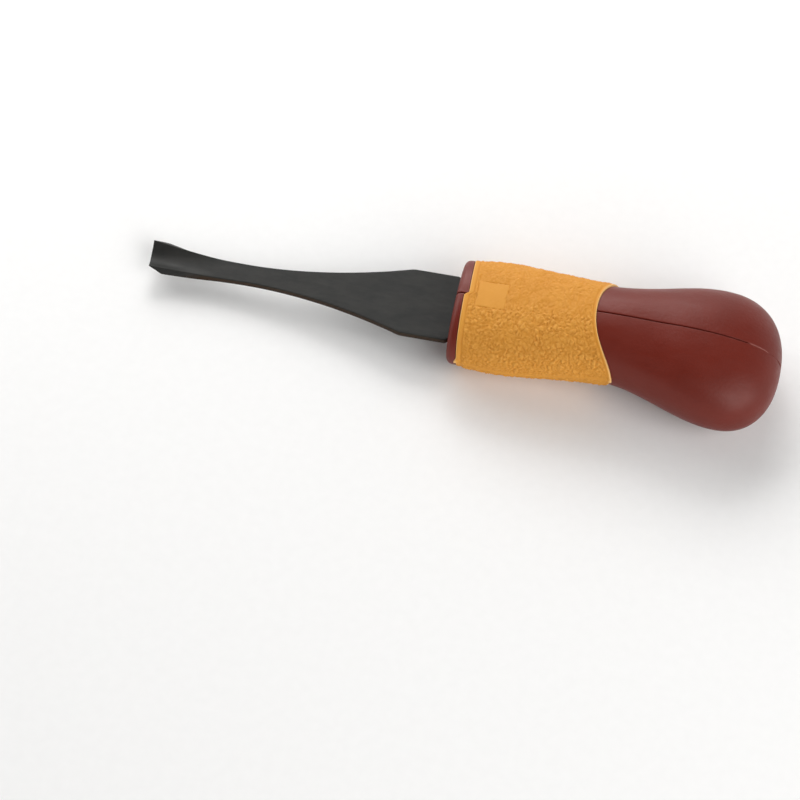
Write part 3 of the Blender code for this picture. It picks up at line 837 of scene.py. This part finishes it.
def socket_form():
    """A tube folded from strip: rounded edges, a flared mouth and a joint along its underside."""
    ends = [(SOCKET_REAR, SOCKET_EDGE), (SOCKET_REAR + SOCKET_EDGE, 0)]
    ends += [(SOCKET_FRONT - SOCKET_EDGE, 0), (SOCKET_FRONT, SOCKET_EDGE)]
    size = SOCKET_HALF_WIDTH, SOCKET_TOP, SOCKET_CORNER
    rings = [(x, *[part - inset for part in size]) for x, inset in ends]
    socket = thing("folded_socket", bar_of("socket", rings))
    inner, room = TANG_HALF + GAP, THICKNESS / 2 + GAP
    ends = [(SOCKET_REAR + SOCKET_WALL, 0), (SOCKET_FRONT - BORE_FLARE_LENGTH, 0)]
    ends.append((SOCKET_FRONT + GAP, BORE_FLARE))
    bore = bar_of("bore", [(x, inner + wider, room + wider, BORE_CORNER) for x, wider in ends])
    low = (SOCKET_REAR - MM, -JOINT_HALF, -SOCKET_TOP - MM)
    joint = block("joint", low, (SOCKET_FRONT + MM, JOINT_HALF, JOINT_DEPTH - SOCKET_TOP))
    cuts = [("DIFFERENCE", bore, None), ("DIFFERENCE", joint, None)]
    for x, radius in ((HOLE_X, BOSS_RADIUS), (RIVET_X, RIVET_RADIUS)):
        hole = drilled(radius + GAP, SOCKET_TOP, SMALL_CHAMFER)
        cuts.append(("DIFFERENCE", hole, Matrix.Translation((x, 0, 0))))
    carve(socket, cuts)
    return socket


def spring_form():
    """A leaf with rounded edges and a pressed boss, hollow above, that drops into the tang's hole."""
    low = SOCKET_TOP + GAP
    high = low + SPRING_THICKNESS
    half_x, middle = (SPRING_FRONT - SPRING_REAR) / 2, (SPRING_FRONT + SPRING_REAR) / 2
    soft = SPRING_EDGE
    rings = []
    for z, inset in ((low, soft), (low + soft, 0), (high - soft, 0), (high, soft)):
        outline = rounded_outline(half_x - inset, SPRING_HALF_WIDTH - inset, SPRING_CORNER - inset, 10)
        rings.append([(middle + x, y, z) for x, y in outline])
    spring = thing("leaf_spring", tube("leaf", np.array(rings)))
    dish_radius = BOSS_RADIUS - DISH_WALL
    boss = [(0, low + SPRING_THICKNESS / 2), (BOSS_RADIUS, low + SPRING_THICKNESS / 2)]
    dish = [(0, high + MM), (dish_radius, high + MM)]
    for turn in np.linspace(0, math.pi / 2, BOSS_STEPS):
        boss.append((BOSS_RADIUS * math.cos(turn), low - BOSS_DEPTH * math.sin(turn)))
        dish.append((dish_radius * math.cos(turn), high - DISH_DEPTH * math.sin(turn)))
    here = Matrix.Translation((HOLE_X, 0, 0))
    bore = RIVET_RADIUS + RIVET_PLAY
    rivet = turned("rivet_hole", [(0, 0), (bore, 0), (bore, RIVET_HOLE_TOP), (0, RIVET_HOLE_TOP)])
    cuts = [("UNION", turned("boss", boss), here), ("DIFFERENCE", turned("dish", dish), here)]
    carve(spring, cuts + [("DIFFERENCE", rivet, Matrix.Translation((RIVET_X, 0, 0)))])
    return spring


def rivet_form():
    """A domed head with a small flat on top, over a plain shank with a chamfered end."""
    under = THICKNESS / 2 + 2 * GAP
    head = SOCKET_TOP + SPRING_THICKNESS + 2 * GAP
    profile = [(0, head + RIVET_HEAD_HEIGHT)]
    for turn in np.radians(np.linspace(*RIVET_TURNS)):
        height = RIVET_HEAD_HEIGHT * (RIVET_RIM + (1 - RIVET_RIM) * math.sin(turn))
        profile.append((RIVET_HEAD_RADIUS * math.cos(turn), head + height))
    profile += [(RIVET_HEAD_RADIUS - RIVET_BREAK, head), (RIVET_RADIUS + RIVET_BREAK, head)]
    profile += [(RIVET_RADIUS, head - RIVET_PLAY), (RIVET_RADIUS, under + RIVET_CHAMFER)]
    profile += [(RIVET_RADIUS - RIVET_CHAMFER, under), (0, under)]
    return thing("domed_rivet", turned("rivet", profile), Matrix.Translation((RIVET_X, 0, 0)))


def thread_form(start, tip):
    """A self-tapping thread along Y from start to a point at tip."""
    angle = np.linspace(0, 2 * math.pi, THREAD_AROUND, endpoint=False)
    rings = []
    for y in np.arange(start, tip, THREAD_PITCH / THREAD_STEPS):
        turn = (angle / (2 * math.pi) + y / THREAD_PITCH) % 1
        crest = np.clip(1 - np.abs(turn - 0.5) / THREAD_SHARE, 0, 1)
        radius = SCREW_RADIUS - THREAD_DEPTH * (1 - crest)
        taper = min((tip - y) / THREAD_POINT, 1) ** THREAD_TAPER
        radius = np.maximum(radius * taper, THREAD_TIP)
        rings.append(np.stack([radius * np.cos(angle), np.full_like(angle, y), -radius * np.sin(angle)], -1))
    return tube("thread", np.array(rings))


def screw_form(name, x, z):
    """A pan-head screw with a crossed recess."""
    head, tip = screw_span(x, z)
    profile = [(0, head), (SCREW_HEAD_RADIUS - SCREW_HEAD_ROUND, head)]
    for turn in np.radians(np.linspace(*SCREW_HEAD_TURNS)):
        radius = SCREW_HEAD_RADIUS - SCREW_HEAD_ROUND * (1 - math.sin(turn))
        profile.append((radius, head + SCREW_HEAD_ROUND * (1 - math.cos(turn))))
    base = head + SCREW_HEAD_DEPTH
    profile += [(SCREW_HEAD_RADIUS, base - SCREW_HEAD_CHAMFER)]
    profile += [(SCREW_HEAD_RADIUS - SCREW_HEAD_CHAMFER, base), (0, base)]
    screw = thing(name + "_threaded", turned("head", profile, "Y"), Matrix.Translation((x, 0, z)))
    cuts = [("UNION", thread_form(base - THREAD_OVERLAP, tip), screw.matrix_world.copy())]
    for turn in RECESS_TURNS:
        rings = []
        for depth, share in RECESS_SHARES:
            size = RECESS_LENGTH / 2 * share, RECESS_WIDTH / 2 * share
            outline = rounded_outline(*size, RECESS_CORNER, 3)
            rings.append([(along, head + depth, -across) for along, across in outline])
        spin = Matrix.Rotation(math.radians(turn), 4, "Y")
        cuts.append(("DIFFERENCE", tube("recess", np.array(rings)), screw.matrix_world @ spin))
    carve(screw, cuts)
    return screw


def fittings():
    """The metal pieces inside the handle."""
    zinc = plated_metal("zinc_plate", ZINC, 0.36, 2 * MM)
    strip = plated_metal("spring_strip", SPRING_STRIP, 0.3, 2 * MM)
    brass = plated_metal("rivet_brass", BRASS, 0.33, 1 * MM)
    screw = plated_metal("screw_zinc", SCREW_ZINC, 0.34, 1 * MM)
    finished(socket_form(), zinc, "handle", "tang_socket")
    finished(spring_form(), strip, "handle", "detent_spring")
    finished(rivet_form(), brass, "handle", "spring_rivet")
    for name, (x, z) in SCREWS.items():
        finished(screw_form(name, x, z), screw, "handle", name)


# Materials


def material(name, color, roughness, metallic=0.0, specular=0.5):
    made = bpy.data.materials.new(name)
    made.use_nodes = True
    shader = made.node_tree.nodes["Principled BSDF"]
    shader.inputs["Base Color"].default_value = (*color, 1)
    shader.inputs["Roughness"].default_value = roughness
    shader.inputs["Metallic"].default_value = metallic
    shader.inputs["Specular IOR Level"].default_value = specular
    return made, made.node_tree, shader


def node(tree, kind, **settings):
    """A shader node, each setting one of its inputs or else one of its properties."""
    made = tree.nodes.new("ShaderNode" + kind)
    for name, value in settings.items():
        if name in made.inputs:
            made.inputs[name].default_value = value
        else:
            setattr(made, name, value)
    return made


def grain_noise(tree, size, stretch=1, detail=3.0, roughness=0.55):
    """Noise with features of a size in metres, longer along X where stretch is less than 1."""
    place = node(tree, "TexCoord")
    mapping = node(tree, "Mapping")
    mapping.inputs["Scale"].default_value = [axis / size for axis in (stretch, 1, 1)]
    texture = node(tree, "TexNoise", Scale=1.0, Detail=detail, Roughness=roughness)
    tree.links.new(place.outputs["Object"], mapping.inputs["Vector"])
    tree.links.new(mapping.outputs["Vector"], texture.inputs["Vector"])
    return texture.outputs["Fac"]


def mapped(tree, value, low=0, high=1, start=0.3, finish=0.7):
    """value from start..finish taken to low..high."""
    scale = node(tree, "MapRange")
    for name, number in (("From Min", start), ("From Max", finish), ("To Min", low), ("To Max", high)):
        scale.inputs[name].default_value = number
    tree.links.new(value, scale.inputs["Value"])
    return scale.outputs["Result"]


def mixed(tree, share, first, second):
    """A colour between two, each a colour or an output."""
    mix = node(tree, "Mix", data_type="RGBA")
    tree.links.new(share, mix.inputs["Factor"])
    for socket, color in zip([s for s in mix.inputs if s.type == "RGBA"], (first, second)):
        if isinstance(color, tuple):
            socket.default_value = (*color, 1)
        else:
            tree.links.new(color, socket)
    return [s for s in mix.outputs if s.type == "RGBA"][0]


def add_bump(tree, shader, height, distance, under=None):
    """Bump of a height in metres on the shader's normal, over another bump where one is given."""
    bump = node(tree, "Bump", Strength=1.0, Distance=distance)
    tree.links.new(height, bump.inputs["Height"])
    if under:
        tree.links.new(under.outputs["Normal"], bump.inputs["Normal"])
    tree.links.new(bump.outputs["Normal"], shader.inputs["Normal"])
    return bump


def add_bumps(tree, shader, layers, under=None):
    """Bumps of noise, one over the other, each (size, detail, height)."""
    for size, detail, height in layers:
        under = add_bump(tree, shader, grain_noise(tree, size, detail=detail), height, under)


def product(tree, *masks):
    """One socket holding the product of several."""
    result = masks[0]
    for mask in masks[1:]:
        both = node(tree, "Math", operation="MULTIPLY")
        tree.links.new(result, both.inputs[0])
        tree.links.new(mask, both.inputs[1])
        result = both.outputs["Value"]
    return result


def between(tree, value, low, high, soft):
    """1 where value is in low..high, falling to 0 over soft outside them."""
    rise = mapped(tree, value, 0, 1, low - soft, low)
    return product(tree, rise, mapped(tree, value, 1, 0, high, high + soft))


def object_axes(tree, output="Object"):
    """X, Y and Z of the object coordinates, or of another output of the coordinates' node."""
    axes = node(tree, "SeparateXYZ")
    tree.links.new(node(tree, "TexCoord").outputs[output], axes.inputs["Vector"])
    return axes.outputs


def seam_ridge_highlight_mask(tree):
    """1 on the fine ridge that the closed end of the seam leaves on the bulb's back, where a paler red
    paints a highlight.
    """
    place = object_axes(tree)
    front, rear = [(TOOL @ Vector((x, 0, TOP[-1][1] / 2))).x for x in (SEAM_CLOSES[1], SEAM_RIDGE_END)]
    along = between(tree, place["X"], rear, front, RIDGE_FADE)
    across = between(tree, place["Y"], -RIDGE_HALF, RIDGE_HALF, RIDGE_SOFT)
    return product(tree, along, across, mapped(tree, place["Z"], 0, 1, *RIDGE_FROM))


def burgundy_plastic(name):
    """Moulded plastic: spark-eroded satin, slightly cloudy, with a few handling marks."""
    look, tree, shader = material(name, BURGUNDY[1], 0.44, specular=0.37)
    cloud = grain_noise(tree, 11 * MM, detail=4)
    color = mixed(tree, mapped(tree, cloud), *BURGUNDY)
    # painted highlight: the seam ridge on top turns a paler red
    color = mixed(tree, seam_ridge_highlight_mask(tree), color, RIDGE_HIGHLIGHT_RED)
    tree.links.new(color, shader.inputs["Base Color"])
    marks = grain_noise(tree, 3 * MM, stretch=0.35, detail=8, roughness=0.7)
    tree.links.new(mapped(tree, marks, *BURGUNDY_ROUGH), shader.inputs["Roughness"])
    add_bumps(tree, shader, BURGUNDY_BUMPS)
    shader.inputs["Specular Tint"].default_value = BURGUNDY_SHEEN
    return look


def ochre_rubber():
    """Moulded rubber, with painted shade in the creases of its grain and a painted highlight on its edges
    and little corners.
    """
    look, tree, shader = material("ochre_rubber", OCHRE_SHADED_CREASES[1], 0.62, specular=0.25)
    grain = node(tree, "Attribute", attribute_name="grain").outputs["Fac"]
    cloud = grain_noise(tree, 6 * MM, detail=4)
    base = mixed(tree, mapped(tree, cloud), *OCHRE_SHADED_CREASES)
    # painted shade: the colour darkens from the pebble tops down into the creases
    worn_and_shaded = mixed(tree, mapped(tree, grain, 0, 1, 0.0, 0.8), base, OCHRE_TOPS)
    # painted highlight: paler ochre on the sleeve's edges and little corners
    edge_highlit = mixed(tree, mapped(tree, grain, 0, 1, 1, EDGE_MARK), worn_and_shaded, OCHRE_EDGE_HIGHLIGHT)
    tree.links.new(edge_highlit, shader.inputs["Base Color"])
    tree.links.new(mapped(tree, grain, *OCHRE_ROUGH, 0, 1), shader.inputs["Roughness"])
    add_bumps(tree, shader, OCHRE_BUMPS)
    return look


def black_steel():
    """Oil-blackened steel: satin faces, brown where the sheared sides are, faintly brushed lengthwise."""
    look, tree, shader = material("black_oxide", BLACK_OXIDE[1], 0.55, specular=0.2)
    facing = object_axes(tree, "Normal")
    upright = node(tree, "Math", operation="ABSOLUTE")
    tree.links.new(facing["Z"], upright.inputs[0])
    cloud = grain_noise(tree, 4 * MM, stretch=0.4, detail=7, roughness=0.65)
    face = mixed(tree, mapped(tree, cloud), *BLACK_OXIDE)
    on_face = mapped(tree, upright.outputs["Value"], 0, 1, *FACE_FROM)
    color = mixed(tree, on_face, SHEARED_BROWN, face)
    tip = (TOOL @ Vector((BLADE_REACH, 0, 0))).x
    near_tip = mapped(tree, object_axes(tree)["X"], 0, 1, tip - BEVEL_LENGTH, tip - 0.5 * BEVEL_LENGTH)
    honed = product(tree, near_tip, mapped(tree, facing["X"], 0, 1, *HONED_FROM))
    color = mixed(tree, honed, color, HONED_STEEL)
    tree.links.new(color, shader.inputs["Base Color"])
    rub = grain_noise(tree, 1.4 * MM, stretch=0.25, detail=6, roughness=0.65)
    tree.links.new(mapped(tree, rub, *OXIDE_ROUGH), shader.inputs["Roughness"])
    strokes = grain_noise(tree, 0.3 * MM, stretch=0.06, detail=3)
    brushed = add_bump(tree, shader, strokes, BRUSHING)
    add_bumps(tree, shader, OXIDE_BUMPS, brushed)
    return look


def plated_metal(name, colors, roughness, size):
    """Bare or plated metal with faint clouding and fine drawing marks."""
    look, tree, shader = material(name, colors[1], roughness, 1.0)
    cloud = grain_noise(tree, size, detail=5)
    tree.links.new(mixed(tree, mapped(tree, cloud), *colors), shader.inputs["Base Color"])
    marks = grain_noise(tree, size / 6, stretch=0.15, detail=4)
    tree.links.new(mapped(tree, marks, roughness - 0.07, roughness + 0.1), shader.inputs["Roughness"])
    add_bump(tree, shader, marks, DRAWING)
    return look


# Stage


def fade_away(tree, shader, start, finish):
    """Fades a surface out to nothing between two distances from its object's middle."""
    away = node(tree, "VectorMath", operation="LENGTH")
    tree.links.new(node(tree, "TexCoord").outputs["Object"], away.inputs[0])
    blend = node(tree, "MixShader")
    tree.links.new(mapped(tree, away.outputs["Value"], 0, 1, start, finish), blend.inputs[0])
    tree.links.new(shader.outputs["BSDF"], blend.inputs[1])
    tree.links.new(node(tree, "BsdfTransparent").outputs["BSDF"], blend.inputs[2])
    tree.links.new(blend.outputs["Shader"], tree.nodes["Material Output"].inputs["Surface"])


def floor():
    look, tree, shader = material("pale_floor", PAPER[1], 0.9)
    fibres = grain_noise(tree, 3 * MM, detail=3)
    tree.links.new(mixed(tree, mapped(tree, fibres), *PAPER), shader.inputs["Base Color"])
    fade_away(tree, shader, FLOOR_FADE, FLOOR_HALF)
    work = bmesh.new()
    bmesh.ops.create_grid(work, x_segments=FLOOR_PARTS, y_segments=FLOOR_PARTS, size=FLOOR_HALF)
    mesh = bpy.data.meshes.new("floor")
    work.to_mesh(mesh)
    work.free()
    made = thing("floor", mesh, Matrix.Translation((0, 0, -FLOOR_DROP)))
    mesh.materials.append(look)


def softbox(name, bearing, elevation, distance, size, power):
    light = bpy.data.lights.new(name, "AREA")
    light.shape = "RECTANGLE"
    light.size, light.size_y = size
    light.energy = power
    direction = direction_of(math.radians(bearing), math.radians(elevation))
    turn = direction.to_track_quat("Z", "Y").to_matrix().to_4x4()
    thing(name, light, Matrix.Translation(AIM + direction * distance) @ turn)


def direction_of(bearing, elevation):
    flat_part = math.cos(elevation)
    return Vector((flat_part * math.cos(bearing), flat_part * math.sin(bearing), math.sin(elevation)))


def surroundings():
    """A white studio, dimmer overhead."""
    world = bpy.data.worlds.new("studio")
    bpy.context.scene.world = world
    world.use_nodes = True
    tree = world.node_tree
    background = tree.nodes["Background"]
    background.inputs["Strength"].default_value = SKY_STRENGTH
    share = mapped(tree, object_axes(tree, "Generated")["Z"], 0, 1, *SKY_DIMS)
    tree.links.new(mixed(tree, share, (1, 1, 1), (SKY_ZENITH,) * 3), background.inputs["Color"])


def camera():
    data = bpy.data.cameras.new("camera")
    data.lens = LENS
    data.clip_end = CLIP_END
    back = direction_of(CAMERA_BEARING, CAMERA_ELEVATION)
    right = Vector((0, 0, 1)).cross(back).normalized()
    turn = Matrix((right, back.cross(right), back)).transposed().to_4x4()
    roll = Matrix.Rotation(CAMERA_ROLL, 4, "Z")
    made = thing("camera", data, Matrix.Translation(AIM + back * AIM_DISTANCE) @ turn @ roll)
    bpy.context.scene.camera = made


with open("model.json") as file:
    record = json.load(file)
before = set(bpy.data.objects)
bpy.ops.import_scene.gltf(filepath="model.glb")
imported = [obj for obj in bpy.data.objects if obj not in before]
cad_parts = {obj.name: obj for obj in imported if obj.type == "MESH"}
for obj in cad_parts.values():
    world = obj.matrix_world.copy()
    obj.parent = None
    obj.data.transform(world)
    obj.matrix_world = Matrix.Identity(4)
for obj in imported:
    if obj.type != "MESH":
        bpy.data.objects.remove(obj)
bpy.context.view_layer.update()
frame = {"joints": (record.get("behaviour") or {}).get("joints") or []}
TOOL = tool_frame()

camera()
floor()
surroundings()
for softbox_values in SOFTBOXES:
    softbox(*softbox_values)
bpy.context.scene.view_settings.view_transform = "Standard"

noise.seed_set(GRAIN_SEED)
handle_halves()
finished(sleeve_form(), ochre_rubber(), "handle", "grip_sleeve", sharp=60)
finished(blade_form(), black_steel(), "blade", "gouge_blade")
fittings()
